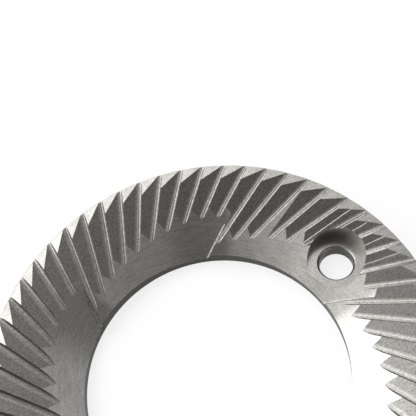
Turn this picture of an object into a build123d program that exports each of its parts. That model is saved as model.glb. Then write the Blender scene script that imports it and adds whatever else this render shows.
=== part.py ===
"""Flat grinding burr of a coffee grinder: one ring of hardened steel.

The ring is turned with a flat outer land and a dished throat round the bore.
Skewed grooves, shallow at the rim and deep at the dish, leave the cutting teeth.
The dish is milled in sectors, each a ramp that sinks and ends in a step.
Two counterbored holes take the screws that hold the burr to its carrier.

Millimetres and degrees. The origin is the centre of the flat back, and +Z points
out of the teeth. Both screw holes lie on the X axis.
"""

import os
from math import cos, radians, sin, tan

from build123d import *

# The turned ring
outer_diameter = 80.0
bore_diameter = 47.0
thickness = 8.0
rim_chamfer = 0.15
back_chamfer = 0.4
bore_chamfer = 0.3

# The grooves between the teeth, with face angles measured square to the groove
tooth_count = 60
groove_skew = 21.6
groove_slope = 14.0
groove_rim_depth = 0.24
shallow_face_angle = 23.0
steep_face_angle = 76.2
groove_root_radius = 0.5

# The dish, with depths below the land where each cone meets the bore.
# The outer cone is centred off the bore, towards the step.
sector_count = 6
blank_depth = 5.0
ramp_angle = 28.5
ramp_start_depth = 5.35
ramp_end_depth = 6.25
outer_cone_angle = 33.8
outer_cone_depth = 6.95
outer_cone_offset = 0.5

# The ramp and the step of each sector, turned clockwise from its first groove
ramp_start = -13.0
ramp_end = 27.0
step_at_bore = 41.3
step_length = 7.7
step_turn = 36.8
sector_overlap = 12.0
step_face_angle = 76.0
step_root_radius = 0.6

# The light second cuts beside each screw hole, counted from the sector's first groove.
# Turn, inset and depth place the tip of a cut from the groove that it crosses and from the rim.
light_cut_count = 4
light_cut_start = -30.0
light_cut_skew = 15.6
light_cut_slope = 16.3
light_cut_turn = 4.8
light_cut_inset = 1.8
light_cut_depth = 0.05

# The screw holes, with the first groove of a sector this far round from them
screw_count = 2
screw_circle_diameter = 60.6
screw_hole_diameter = 6.2
screw_hole_chamfer = 0.4
pocket_diameter = 10.5
seat_depth = 5.2
first_groove_angle = 31.1

# Sizes that follow from the ones above, and how far the cutters run past the metal
outer_radius = outer_diameter / 2
bore_radius = bore_diameter / 2
seat_height = thickness - seat_depth
clearance = 1.0
wheel_outer_run = 3.0


def around(angle, radius, height):
    """A point given by its angle about the bore, its radius and its height."""
    return Vector(radius * cos(radians(angle)), radius * sin(radians(angle)), height)


def cone_height(radius, depth_at_bore, angle):
    """The height of a cone that is centred on the bore."""
    return thickness - depth_at_bore + (radius - bore_radius) * tan(radians(angle))


def cone_radius(height, depth_at_bore, angle):
    """The radius at which that cone reaches a height."""
    return bore_radius + (height - thickness + depth_at_bore) / tan(radians(angle))


def wheel_plane(tip, skew, slope, run):
    """The plane square to the path of the grinding wheel, set back from its tip by the run."""
    out = around(-skew, cos(radians(slope)), sin(radians(slope)))
    return Plane(origin=tip - out * run, x_dir=around(90 - skew, 1, 0), z_dir=out)


# The cutter of one groove, which sinks from the rim towards the bore
wheel_inner_run = (outer_radius - bore_radius) / cos(radians(groove_skew))
wheel_run = wheel_inner_run + wheel_outer_run
wheel_height = groove_rim_depth + wheel_inner_run * tan(radians(groove_slope))
shallow_top = (wheel_height / tan(radians(shallow_face_angle)), wheel_height)
steep_top = (-wheel_height / tan(radians(steep_face_angle)), wheel_height)
groove_tip = Vector(outer_radius, 0, thickness - groove_rim_depth)
with BuildPart() as groove:
    with BuildSketch(wheel_plane(groove_tip, groove_skew, groove_slope, wheel_inner_run)) as groove_section:
        with BuildLine():
            Polyline((0, 0), shallow_top, steep_top, close=True)
        make_face()
        fillet(groove_section.vertices().sort_by(Axis.Y)[0], groove_root_radius)
    extrude(amount=wheel_run)

# The cutter of a light cut, which has a sharp root
light_cut_tip = around(light_cut_turn, outer_radius - light_cut_inset, thickness - light_cut_depth)
with BuildPart() as light_cut:
    with BuildSketch(wheel_plane(light_cut_tip, light_cut_skew, light_cut_slope, wheel_inner_run)):
        with BuildLine():
            Polyline((0, 0), shallow_top, steep_top, close=True)
        make_face()
    extrude(amount=wheel_run)
tooth_pitch = 360 / tooth_count
first_light_cut = first_groove_angle + light_cut_start
light_cut_arc = -(light_cut_count - 1) * tooth_pitch

# The cutter of one sector of the dish: a sinking ramp inside an outer cone, with a step at its end
sector_angle = 360 / sector_count
sector_arc = sector_angle + 2 * sector_overlap
sector_end = first_groove_angle - step_at_bore - sector_overlap
ramp_middle = (ramp_start + ramp_end) / 2
ramp_half_width = (ramp_end - ramp_start) / 2
ramp_depth = (ramp_start_depth + ramp_end_depth) / 2
ramp_swing = (ramp_end_depth - ramp_start_depth) / (2 * sin(radians(ramp_half_width)))
ramp_offset = ramp_swing / tan(radians(ramp_angle))
ramp_centre = around(first_groove_angle - ramp_middle - 90, ramp_offset, 0)
cutter_top = thickness + clearance
cutter_inner = bore_radius - outer_cone_offset - clearance
cutter_outer = cone_radius(cutter_top, outer_cone_depth, outer_cone_angle)
ramp_inner = cutter_inner - ramp_offset - clearance
ramp_outer = cutter_outer + outer_cone_offset + ramp_offset + clearance
ramp_top = cone_height(ramp_outer, ramp_depth, ramp_angle)
outer_cone_centre = around(first_groove_angle - step_at_bore, outer_cone_offset, 0)
wedge_side = around(sector_end - 90, 1, 0)

# The step's face, which leaves the bore's edge turned towards the next sector
step_direction = first_groove_angle - step_at_bore - step_turn
step_foot = around(first_groove_angle - step_at_bore, bore_radius, thickness - ramp_start_depth)
step_end = step_foot + around(step_direction, step_length, 0)
step_end_radius = Vector(step_end.X, step_end.Y, 0).length
step_rise = cone_height(step_end_radius, ramp_start_depth, ramp_angle) - step_foot.Z
step_along = around(step_direction, step_length, step_rise).normalized()
step_up = around(step_direction - 90, cos(radians(step_face_angle)), sin(radians(step_face_angle)))
step_plane = Plane(origin=step_foot, x_dir=step_along, z_dir=step_up.cross(step_along))

# The sector cutter itself: the ramp's cone, cut off by the step and kept inside the outer cone
with BuildPart() as sector:
    with BuildSketch(Plane(origin=ramp_centre, x_dir=(1, 0, 0), z_dir=(0, -1, 0))):
        with BuildLine():
            Polyline(
                (ramp_inner, cone_height(ramp_inner, ramp_depth, ramp_angle)),
                (ramp_outer, ramp_top),
                (ramp_inner, ramp_top),
                close=True,
            )
        make_face()
    revolve(axis=Axis(ramp_centre, (0, 0, 1)))
    split(bisect_by=step_plane, keep=Keep.TOP)
    step_face = sector.faces().filter_by(step_plane).sort_by_distance(step_foot)[0]
    fillet(step_face.edges().sort_by(Axis.Z)[0], step_root_radius)
    with BuildSketch(Plane(outer_cone_centre, around(sector_end, 1, 0), wedge_side)):
        with BuildLine():
            Polyline(
                (cutter_inner, cone_height(cutter_inner, outer_cone_depth, outer_cone_angle)),
                (cutter_outer, cutter_top),
                (cutter_inner, cutter_top),
                close=True,
            )
        make_face()
    revolve(axis=Axis(outer_cone_centre, (0, 0, 1)), revolution_arc=sector_arc, mode=Mode.INTERSECT)

# The cutter of one screw hole: a bore with a chamfered mouth, a flat seat and a round pocket
screw_radius = screw_hole_diameter / 2
mouth_radius = screw_radius + screw_hole_chamfer
pocket_radius = pocket_diameter / 2
with BuildPart() as screw_seat:
    with BuildSketch(Plane.XZ.shift_origin((screw_circle_diameter / 2, 0, 0))):
        with BuildLine():
            Polyline(
                (0, -clearance),
                (screw_radius, -clearance),
                (screw_radius, seat_height - screw_hole_chamfer),
                (mouth_radius, seat_height),
                (pocket_radius, seat_height),
                (pocket_radius, cutter_top),
                (0, cutter_top),
                close=True,
            )
        make_face()
    revolve(axis=Axis((screw_circle_diameter / 2, 0, 0), (0, 0, 1)))

# The burr: a turned blank, with the grooves, the dish sectors and the screw holes cut in it
with BuildPart() as burr:
    with BuildSketch(Plane.XZ):
        with BuildLine():
            Polyline(
                (bore_radius, 0),
                (outer_radius, 0),
                (outer_radius, thickness),
                (cone_radius(thickness, blank_depth, ramp_angle), thickness),
                (bore_radius, thickness - blank_depth),
                close=True,
            )
        make_face()
    revolve(axis=Axis.Z)
    back_edges = burr.faces().sort_by(Axis.Z)[0].edges().sort_by(SortBy.LENGTH)
    chamfer(back_edges[-1], back_chamfer)
    chamfer(burr.faces().sort_by(Axis.Z)[0].edges().sort_by(SortBy.LENGTH)[0], bore_chamfer)
    chamfer(burr.faces().sort_by(Axis.Z)[-1].edges().sort_by(SortBy.LENGTH)[-1], rim_chamfer)
    with PolarLocations(0, tooth_count, start_angle=first_groove_angle):
        add(groove.part, mode=Mode.SUBTRACT)
    with PolarLocations(0, sector_count):
        add(sector.part, mode=Mode.SUBTRACT)
    with PolarLocations(0, screw_count):
        with PolarLocations(0, light_cut_count, first_light_cut, light_cut_arc, endpoint=True):
            add(light_cut.part, mode=Mode.SUBTRACT)
        add(screw_seat.part, mode=Mode.SUBTRACT)

burr.part.label = "burr"
os.makedirs("parts", exist_ok=True)
export_step(burr.part, "parts/burr.step")
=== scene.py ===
"""Dresses the steel grinding burr and sets it on a white table under soft studio light."""

from math import atan2, cos, floor, pi, radians, sin

import bmesh
import bpy
from mathutils import Matrix, Vector


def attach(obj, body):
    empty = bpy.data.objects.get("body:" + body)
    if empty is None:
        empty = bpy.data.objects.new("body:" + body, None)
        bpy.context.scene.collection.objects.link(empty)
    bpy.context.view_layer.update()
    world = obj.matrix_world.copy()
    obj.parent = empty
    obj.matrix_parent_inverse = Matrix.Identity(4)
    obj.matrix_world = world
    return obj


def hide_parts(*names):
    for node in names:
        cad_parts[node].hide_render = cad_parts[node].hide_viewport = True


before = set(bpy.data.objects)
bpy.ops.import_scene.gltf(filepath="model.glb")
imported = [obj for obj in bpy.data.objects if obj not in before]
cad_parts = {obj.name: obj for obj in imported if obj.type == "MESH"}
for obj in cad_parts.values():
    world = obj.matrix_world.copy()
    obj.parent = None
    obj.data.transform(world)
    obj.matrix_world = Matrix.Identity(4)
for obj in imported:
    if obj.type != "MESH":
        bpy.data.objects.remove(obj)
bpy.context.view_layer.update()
scene = bpy.context.scene
MM = 0.001


# The burr's skin. The real burr is one ring of hardened steel, turned, milled and then ground.
# Each face keeps the mark of the tool that cut it, so the faces are sorted by tool here:
# lands, grooves, dish, screw seats, and the turned bore, rim and back.
weld_distance = 0.004 * MM
flat_angle = radians(0.03)
land_height = 7.99 * MM
dish_radius = 33.5 * MM
seat_axis = 30.3 * MM
pocket_radius = 5.4 * MM
hole_radius = 3.6 * MM

# A face's lift says how far it looks up: 1 is level, 0 an upright wall, and -1 the back.
level_lift = 0.999
root_lift = 0.84
chamfer_lift = 0.72
wall_lift = 0.3
turned_lift = 0.05
back_lift = -0.5

# How squarely a turned wall and the dish look at the bore's axis
turned_lean = 0.6
dish_lean = 0.4
finishes = (
    "ground_land",
    "milled_groove",
    "cutting_face",
    "groove_root_painted_highlight",
    "light_cut",
    "cut_brow_painted_highlight",
    "milled_dish",
    "turned_seat",
    "bore_wall_painted_shade",
    "turned_ring_painted_shade",
    "keen_edge_painted_highlight",
)


def finish_of(face):
    """The finish of one face, from where it lies and which way it looks."""
    middle = face.calc_center_median()
    spoke = Vector((middle.x, middle.y, 0))
    from_seat = Vector((abs(middle.x) - seat_axis, middle.y, 0)).length
    lift = face.normal.z
    lean = -face.normal.dot(spoke.normalized())
    if middle.z > land_height:
        return "ground_land"
    if from_seat < pocket_radius and abs(lift) < wall_lift:
        return "bore_wall_painted_shade" if from_seat < hole_radius else "turned_ring_painted_shade"
    if from_seat < pocket_radius and (lift > level_lift or abs(lift) < chamfer_lift):
        return "turned_seat"
    if abs(lift) < turned_lift and abs(lean) > turned_lean:
        return "bore_wall_painted_shade" if lean > 0 else "turned_ring_painted_shade"
    if lift < back_lift:
        return "turned_ring_painted_shade"
    if spoke.length < dish_radius and lean > dish_lean:
        return "milled_dish"
    if lift < wall_lift:
        return "cutting_face"
    return "groove_root_painted_highlight" if lift < root_lift else "milled_groove"


burr_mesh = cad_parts["burr"].data.copy()
burr_mesh.name = "burr_steel"
burr_mesh.materials.clear()
shape = bmesh.new()
shape.from_mesh(burr_mesh)
bmesh.ops.remove_doubles(shape, verts=shape.verts, dist=weld_distance)
bmesh.ops.dissolve_limit(
    shape, angle_limit=flat_angle, verts=shape.verts, edges=shape.edges, delimit={"NORMAL"}
)
for face in shape.faces:
    face.smooth = True
    face.material_index = finishes.index(finish_of(face))


# The broken edges. A light stone took the keenness off every edge between two faces, and the narrow
# strip left along each one is given a bright grey, a painted highlight for the line of light it catches.
# The wheel's corner rounded the roots of the grooves and the feet of the steps, so the narrow strips
# there are shaded as one.
edge_angle = radians(14)
edge_width = 0.04 * MM
root_angle = radians(40)
root_strip = 0.34 * MM


def strip_width(face):
    """How wide a face is, if it is taken for a long strip."""
    return face.calc_area() / max(edge.calc_length() for edge in face.edges)


shape.normal_update()
keen = shape.edges.layers.float.new("bevel_weight_edge")
for edge in shape.edges:
    turn = edge.calc_face_angle()
    if edge.is_convex:
        edge[keen] = 1.0 if turn > edge_angle else 0.0
    elif turn > edge_angle:
        rounded = min(strip_width(face) for face in edge.link_faces) < root_strip
        edge.smooth = rounded and turn < root_angle


# The roots of the grooves. The wheel's worn corner leaves a root wider and softer than a plain round,
# so a strip of each shallow face belongs to it, and its shading turns slowly from the steep face to
# the shallow one. The strip is also given a lighter grey than the shallow face, a painted highlight along
# the root.
groove_count = 60
first_groove = radians(31.1)
groove_skew = radians(21.6)
groove_slope = radians(14)
shallow_angle = radians(23)
steep_angle = radians(76.2)
rim_radius = 40 * MM
groove_length = 21 * MM
root_start = -0.14 * MM
root_reach = 1.1 * MM
same_way = 0.9998


def groove_frame(number):
    """A groove's tip, the way across it, and the ways that its shallow and its steep face look."""
    turn = first_groove + 2 * pi * number / groove_count
    tip = Vector((cos(turn), sin(turn), 0)) * rim_radius
    heading = turn - groove_skew
    along = Vector((cos(heading) * cos(groove_slope), sin(heading) * cos(groove_slope), sin(groove_slope)))
    across = Vector((-sin(heading), cos(heading), 0))
    up = along.cross(across)
    shallow = cos(shallow_angle) * up - sin(shallow_angle) * across
    steep = cos(steep_angle) * up + sin(steep_angle) * across
    return tip, across, shallow, steep


def is_shallow_face(face, shallow):
    """Whether a face looks the way that one groove's shallow face does."""
    return finishes[face.material_index] == "milled_groove" and face.normal.dot(shallow) > same_way


grooves = [groove_frame(number) for number in range(groove_count)]
for tip, across, shallow, steep in grooves:
    faces = [face for face in shape.faces if is_shallow_face(face, shallow)]
    bmesh.ops.bisect_plane(
        shape,
        geom=[*faces, *{edge for face in faces for edge in face.edges}],
        dist=weld_distance,
        plane_co=tip + across * root_reach,
        plane_no=across,
    )
    for face in shape.faces:
        if is_shallow_face(face, shallow) and (face.calc_center_median() - tip).dot(across) < root_reach:
            face.material_index = finishes.index("groove_root_painted_highlight")


# The light second cuts beside each screw hole. Each was ground across a finished groove, and leaves a
# wall on its face that is too low to see by itself. So the wall is laid back along the face into a strip,
# which is given a bright grey, a painted highlight, and shows as the bright line of the real cut.
root_length = 0.8 * MM
sharp_root = radians(60)
laid_back = 0.16 * MM
lowest_wall_lift = 0.05
highest_wall_lift = 0.4
same_wall = 0.9


def is_sharp_root(edge):
    """Whether an edge is the root of a light cut, which unlike a groove's has no rounding."""
    if edge.is_convex or edge.calc_length() < root_length or edge.calc_face_angle() < sharp_root:
        return False
    return lowest_wall_lift < min(face.normal.z for face in edge.link_faces) < highest_wall_lift


shape.normal_update()
wall_facing = shape.faces.layers.float_vector.new("wall_facing")
while roots := [edge for edge in shape.edges if is_sharp_root(edge)]:
    root = roots[0]
    wall, cut_face = sorted(root.link_faces, key=lambda face: face.normal.z)
    cut_face.material_index = finishes.index("light_cut")
    brow = max((edge for edge in wall.edges if edge != root), key=lambda edge: edge.calc_length())
    upper = next(face for face in brow.link_faces if face != wall)
    if upper.normal.dot(wall.normal) > same_wall:
        bmesh.ops.dissolve_edges(shape, edges=[brow])
        continue
    along = brow.verts[1].co - brow.verts[0].co
    away = upper.normal.cross(along).normalized()
    away *= 1 if away.dot(upper.calc_center_median() - brow.verts[0].co) > 0 else -1
    bmesh.ops.bisect_plane(
        shape,
        geom=[upper, *upper.edges, *upper.verts],
        dist=weld_distance,
        plane_co=brow.verts[0].co + away * laid_back,
        plane_no=away,
    )
    strip = next(face for face in brow.link_faces if face != wall)
    strip.material_index = finishes.index("cut_brow_painted_highlight")
    strip[wall_facing] = wall.normal
    ends = {
        corner: min(root.verts, key=lambda end: (end.co - corner.co).length)
        for corner in wall.verts
        if corner not in root.verts[:]
    }
    bmesh.ops.weld_verts(shape, targetmap=ends)
    shape.normal_update()
for face in shape.faces:
    if finishes[face.material_index] == "cut_brow_painted_highlight":
        for edge in face.edges:
            if edge.calc_length() > root_length:
                edge[keen] = 0.0
                edge.smooth = False
shape.to_mesh(burr_mesh)
shape.free()

burr = bpy.data.objects.new("burr_steel", burr_mesh)
scene.collection.objects.link(burr)


# The steel's finishes. The burr is bare hardened steel all over, and its faces differ in how bright and
# how smooth each tool left them. Some greys also carry painted light: painted shade on the walls of the
# bore, holes, pockets, rim and back, painted highlights on the broken edges, cut brows and groove roots,
# and a painted sheen on the dish. A finish is a warm grey with fine grain, faint patches, and the marks
# of its tool, which run along the way that the tool went.
grain_size = 0.3 * MM
grain_detail = 3.0
patch_size = 6.0 * MM
patch_detail = 4.0
mark_detail = 2.0
mark_stretch = 0.12
ring_middle = 32 * MM
groove_lean = -0.4
relief_height = 0.01 * MM
plain_shade = 0.9
mark_contrast = 0.5
patch_contrast = 0.1
least_flecks = 0.5
flecks_by_grain = 0.7
warm_red = 1.02
warm_blue = 0.94
patch_roughness = 0.08
mark_roughness = 0.06


class Number:
    """A number in a shader: an operator on it adds the Math node that works it out."""

    def __init__(self, surface, socket):
        self.surface = surface
        self.socket = socket

    def worked(self, operation, *values):
        return self.surface.number("ShaderNodeMath", {"operation": operation}, dict(enumerate(values)))

    def __add__(self, other):
        return self.worked("ADD", self, other)

    def __radd__(self, other):
        return self.worked("ADD", other, self)

    def __sub__(self, other):
        return self.worked("SUBTRACT", self, other)

    def __rsub__(self, other):
        return self.worked("SUBTRACT", other, self)

    def __mul__(self, other):
        return self.worked("MULTIPLY", self, other)

    def __rmul__(self, other):
        return self.worked("MULTIPLY", other, self)

    def __pow__(self, other):
        return self.worked("POWER", self, other)

    def __abs__(self):
        return self.worked("ABSOLUTE", self)


class Surface:
    """The node tree of a finish, of the table's paper or of the room."""

    def __init__(self, tree):
        self.tree = tree
        self.tree.nodes.clear()

    def node(self, kind, settings=None, sockets=None):
        made = self.tree.nodes.new(kind)
        for name, value in (settings or {}).items():
            setattr(made, name, value)
        for name, value in (sockets or {}).items():
            if isinstance(value, Number):
                value = value.socket
            if isinstance(value, bpy.types.NodeSocket):
                self.tree.links.new(value, made.inputs[name])
            else:
                made.inputs[name].default_value = value
        return made

    def number(self, kind, settings=None, sockets=None, output=0):
        return Number(self, self.node(kind, settings, sockets).outputs[output])

    def parts_of(self, place):
        split = self.node("ShaderNodeSeparateXYZ", {}, {"Vector": place})
        return [Number(self, split.outputs[axis]) for axis in "XYZ"]

    def noise(self, place, size, detail):
        """Noise that swings about zero."""
        sockets = {"Vector": place, "Scale": 1 / size, "Detail": detail}
        return self.number("ShaderNodeTexNoise", {}, sockets) - 0.5

    def passage(self, value, start, end, before, after):
        """A number that goes smoothly from before to after, while the value goes from start to end."""
        sockets = {"Value": value, "From Min": start, "From Max": end, "To Min": before, "To Max": after}
        return self.number("ShaderNodeMapRange", {"interpolation_type": "SMOOTHSTEP"}, sockets)


def marks_of_tool(surface, place, tool):
    """Where the surface is, measured along and across the marks that its tool left."""
    x, y, z = surface.parts_of(place)
    if tool == "seat cutter":
        x = abs(x) - seat_axis
    radius = (x * x + y * y) ** 0.5
    turn = y.worked("ARCTAN2", y, x) * ring_middle
    if tool == "groove wheel":
        across, along = turn + radius * groove_lean, radius
    elif tool == "turning tool":
        across, along = z, turn
    else:
        across, along = radius, turn
    marks = surface.node("ShaderNodeCombineXYZ", {}, {"X": across, "Y": along * mark_stretch, "Z": z})
    return marks.outputs[0]


# The face mill cut the dish sector by sector. The dish's grey is painted brighter in the middle of each
# sector and duller at both ends, up to the steps: a painted sheen and painted shade for how the light
# falls on each sector's cone.
sector_angle = radians(60)
sector_start = radians(31.1 + 18.7)
painted_sheen_rise = (radians(6), radians(11))
painted_sheen_fall = (radians(36), radians(54))
painted_shade_at_ends = 0.6


def painted_sector_sheen(surface, place):
    """How bright the painted sheen makes the dish, by how far into its sector a place is."""
    x, y = surface.parts_of(place)[:2]
    turn = sector_start - y.worked("ARCTAN2", y, x)
    into_sector = turn.worked("FLOORED_MODULO", turn, sector_angle)
    brighter = surface.passage(into_sector, *painted_sheen_rise, painted_shade_at_ends, 1)
    duller = surface.passage(into_sector, *painted_sheen_fall, 1, painted_shade_at_ends)
    return brighter * duller


def steel(name, tone, roughness, tool, mark_size, mark_depth, grain_depth):
    """A steel finish: its grey, its gloss, and the marks and grain that its tool left."""
    material = bpy.data.materials.new("steel_" + name)
    material.use_nodes = True
    surface = Surface(material.node_tree)
    place = surface.node("ShaderNodeTexCoord").outputs["Object"]
    # The face mill's finishes, the dish and the broken edges, take the painted sector sheen and shade.
    if tool == "face mill":
        tone = tone * painted_sector_sheen(surface, place)
    marks = surface.noise(marks_of_tool(surface, place, tool), mark_size, mark_detail)
    grain = surface.noise(place, grain_size, grain_detail)
    patches = surface.noise(place, patch_size, patch_detail)
    flecks = (least_flecks + flecks_by_grain * grain_depth) * grain
    shade = tone * (plain_shade + mark_contrast * marks + flecks + patch_contrast * patches)
    warm_grey = surface.node(
        "ShaderNodeCombineColor", {}, {"Red": shade * warm_red, "Green": shade, "Blue": shade * warm_blue}
    )
    height = mark_depth * marks + grain_depth * grain
    relief = surface.node(
        "ShaderNodeBump", {}, {"Height": height, "Strength": 1.0, "Distance": relief_height}
    )
    body = surface.node(
        "ShaderNodeBsdfPrincipled",
        {},
        {
            "Base Color": warm_grey.outputs[0],
            "Metallic": 1.0,
            "Roughness": roughness + patch_roughness * patches + mark_roughness * marks,
            "Normal": relief.outputs[0],
        },
    )
    surface.node("ShaderNodeOutputMaterial", {}, {"Surface": body.outputs[0]})
    return material


# Each finish has its grey, its roughness and its tool, then the size and depth of the tool's marks and
# the depth of the grain.
looks = {
    "ground_land": (0.66, 0.26, "turning tool", 0.3 * MM, 0.1, 0.5),
    "milled_groove": (0.44, 0.36, "groove wheel", 0.3 * MM, 1.0, 1.2),
    "cutting_face": (0.5, 0.3, "groove wheel", 0.3 * MM, 0.4, 0.35),
    # Painted highlight: the root strip's grey is lighter than the shallow face's, for the band of light
    # along the root.
    "groove_root_painted_highlight": (0.56, 0.37, "groove wheel", 0.3 * MM, 1.0, 1.0),
    "light_cut": (0.42, 0.36, "groove wheel", 0.25 * MM, 0.6, 0.5),
    # Painted highlight: the laid-back brow of a light cut gets a near-white grey for the line of light
    # along the cut.
    "cut_brow_painted_highlight": (0.9, 0.5, "groove wheel", 0.3 * MM, 0.1, 0.1),
    # The dish's grey also takes the painted sector sheen and shade.
    "milled_dish": (0.95, 0.38, "face mill", 0.4 * MM, 0.3, 0.35),
    "turned_seat": (0.75, 0.26, "seat cutter", 0.25 * MM, 0.4, 0.2),
    # Painted shade: the bore and screw-hole walls get a near-black grey, and the turned walls of the
    # pockets, rim and back a dark one, for the shade deep in the holes.
    "bore_wall_painted_shade": (0.05, 0.4, "turning tool", 0.2 * MM, 0.4, 0.2),
    "turned_ring_painted_shade": (0.25, 0.3, "turning tool", 0.2 * MM, 0.4, 0.2),
    # Painted highlight: the broken edges' strips get a bright grey for the light that they catch.
    "keen_edge_painted_highlight": (0.85, 0.3, "face mill", 0.3 * MM, 0.1, 0.1),
}
for finish in finishes:
    burr.data.materials.append(steel(finish, *looks[finish]))

breaking = burr.modifiers.new("broken edges", "BEVEL")
breaking.limit_method = "WEIGHT"
breaking.width = edge_width
breaking.segments = 1
breaking.material = finishes.index("keen_edge_painted_highlight")
breaking.miter_outer = "MITER_SHARP"
flattening = burr.modifiers.new("flat faces", "WEIGHTED_NORMAL")
flattening.mode = "FACE_AREA"
flattening.weight = 100
flattening.keep_sharp = True
graph = bpy.context.evaluated_depsgraph_get()
finished = bpy.data.meshes.new_from_object(burr.evaluated_get(graph))
burr.modifiers.clear()
burr.data = finished


# The shading of the curved faces. The dish, the groove roots and the walls of the screw holes are smooth
# on the real burr, and the brow of a light cut is rounded over. Each corner of these faces takes the way
# that the real surface looks there. A sector's cone stands on an axis of its own, off the bore's.
cone_tilt = radians(28.5)
cone_offset = 2.423 * MM
cone_bearing = radians(-65.9)
wall_facings = finished.attributes["wall_facing"].data


def dish_normal(face, place):
    """The way that the dish looks at a place, from the cone of the sector that the face is in."""
    sector = floor((sector_start - atan2(face.center.y, face.center.x)) / sector_angle)
    bearing = cone_bearing - sector * sector_angle
    spoke = place - Vector((cos(bearing), sin(bearing), 0)) * cone_offset
    turn = atan2(spoke.y, spoke.x)
    return Vector((-cos(turn) * sin(cone_tilt), -sin(turn) * sin(cone_tilt), cos(cone_tilt)))


def root_normal(face, place):
    """The way that the root of the groove nearest to a face looks at a place."""
    near = [groove for groove in grooves if (face.center - groove[0]).length < groove_length]
    tip, across, shallow, steep = min(
        near, key=lambda groove: abs((face.center - groove[0]).dot(groove[1]) - 0.5 * root_reach)
    )
    share = ((place - tip).dot(across) - root_start) / (root_reach - root_start)
    return steep.slerp(shallow, sin(0.5 * pi * min(1, max(0, share))))


def brow_normal(face, place):
    """Half towards the way that the low wall of a light cut faced."""
    return (face.normal + wall_facings[face.index].vector).normalized()


def screw_wall_normal(face, place):
    """Straight towards the axis of the screw hole that a wall belongs to."""
    axis = seat_axis if face.center.x > 0 else -seat_axis
    return Vector((axis - place.x, -place.y, 0)).normalized()


def is_screw_wall(face):
    """Whether a face is part of the upright wall of a screw hole or of its pocket."""
    from_seat = Vector((abs(face.center.x) - seat_axis, face.center.y)).length
    turned = finishes[face.material_index] in ("bore_wall_painted_shade", "turned_ring_painted_shade")
    return turned and from_seat < pocket_radius and abs(face.normal.z) < wall_lift


curved = {"milled_dish": dish_normal, "groove_root_painted_highlight": root_normal, "cut_brow_painted_highlight": brow_normal}
corner_normals = [normal.vector.copy() for normal in finished.corner_normals]
for face in finished.polygons:
    shading = screw_wall_normal if is_screw_wall(face) else curved.get(finishes[face.material_index])
    if shading:
        for corner in face.loop_indices:
            place = finished.vertices[finished.loops[corner].vertex_index].co
            corner_normals[corner] = shading(face, place)
finished.normals_split_custom_set(corner_normals)
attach(burr, "root")
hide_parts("burr")


# The table. The burr lies on a large sheet of matt white paper, which takes its soft shadow.
# The paper is grey under the lamps, and its glow makes it white to the camera and in the steel.
sheet_size = 4.0
paper_grey = 0.35
paper_glow = 0.8
bpy.ops.mesh.primitive_plane_add(size=sheet_size, location=(0, 0, 0))
table = bpy.context.object
table.name = "table"
paper = bpy.data.materials.new("white_paper")
paper.use_nodes = True
sheet = Surface(paper.node_tree)
rays = sheet.node("ShaderNodeLightPath").outputs
seen = Number(sheet, rays["Is Camera Ray"])
for ray in ("Is Glossy Ray", "Is Transmission Ray"):
    seen = seen.worked("MAXIMUM", seen, rays[ray])
matt = sheet.node("ShaderNodeBsdfDiffuse", {}, {"Color": (paper_grey, paper_grey, paper_grey, 1)})
glow = sheet.node("ShaderNodeEmission", {}, {"Color": (1, 1, 1, 1), "Strength": seen * paper_glow})
both = sheet.node("ShaderNodeAddShader", {}, {0: matt.outputs[0], 1: glow.outputs[0]})
sheet.node("ShaderNodeOutputMaterial", {}, {"Surface": both.outputs[0]})
table.data.materials.append(paper)


# The studio. A dim room has a large soft lamp behind the burr, two smaller ones to its left and two
# weak ones to its right. A lamp has its angle round the burr from the camera's right, its height, how
# narrow it is, and its brightness.
view_turn = -28.626
key_lamp = (122, 42, 7.4, 2.15)
side_lamp = (175, 35, 12.0, 0.6)
low_lamp = (145, 24, 10.0, 0.9)
fill_lamp = (-12, 45, 10.0, 0.06)
far_lamp = (30, 33, 6.0, 0.17)
room_light = 0.1


def towards(azimuth, elevation):
    """A direction by its angle round the burr and its height above the table, in degrees."""
    turn, rise = radians(azimuth), radians(elevation)
    return Vector((cos(turn) * cos(rise), sin(turn) * cos(rise), sin(rise)))


world = bpy.data.worlds.new("studio")
scene.world = world
world.use_nodes = True
room = Surface(world.node_tree)
direction = room.node("ShaderNodeTexCoord").outputs["Generated"]
light = room_light
for azimuth, elevation, narrowness, brightness in (key_lamp, side_lamp, low_lamp, fill_lamp, far_lamp):
    lamp_direction = tuple(towards(view_turn + azimuth, elevation))
    facing = room.number(
        "ShaderNodeVectorMath", {"operation": "DOT_PRODUCT"}, {0: direction, 1: lamp_direction}, "Value"
    )
    light = brightness * facing.worked("EXPONENT", narrowness * (facing - 1)) + light
from_camera = room.number("ShaderNodeLightPath", output="Is Camera Ray")
strength = light * (1 - from_camera) + from_camera
background = room.node("ShaderNodeBackground", {}, {"Color": (1, 1, 1, 1), "Strength": strength})
room.node("ShaderNodeOutputWorld", {}, {"Surface": background.outputs[0]})


# The camera. It looks down on the near half of the ring, turned a little about its own line of sight.
# Its focal length is given in pixels of a picture 416 pixels wide.
target = Vector((20.42, 23.07, 8.0)) * MM
camera_azimuth = radians(view_turn)
camera_elevation = radians(60.132)
camera_roll = radians(-15.977)
camera_distance = 152.49 * MM
focal_pixels = 818.364
picture_pixels = 416
sensor_width = 36.0
nearest_seen = 0.01
away = Vector(
    (
        sin(camera_azimuth) * cos(camera_elevation),
        -cos(camera_azimuth) * cos(camera_elevation),
        sin(camera_elevation),
    )
)
level = Vector((cos(camera_azimuth), sin(camera_azimuth), 0))
upward = away.cross(level)
rightward = level * cos(camera_roll) + upward * sin(camera_roll)
camera_data = bpy.data.cameras.new("camera")
camera_data.sensor_width = sensor_width
camera_data.lens = focal_pixels / picture_pixels * sensor_width
camera_data.clip_start = nearest_seen
camera = bpy.data.objects.new("camera", camera_data)
scene.collection.objects.link(camera)
pose = Matrix((rightward, away.cross(rightward), away)).transposed().to_4x4()
pose.translation = target + away * camera_distance
camera.matrix_world = pose
scene.camera = camera
scene.view_settings.view_transform = "Standard"
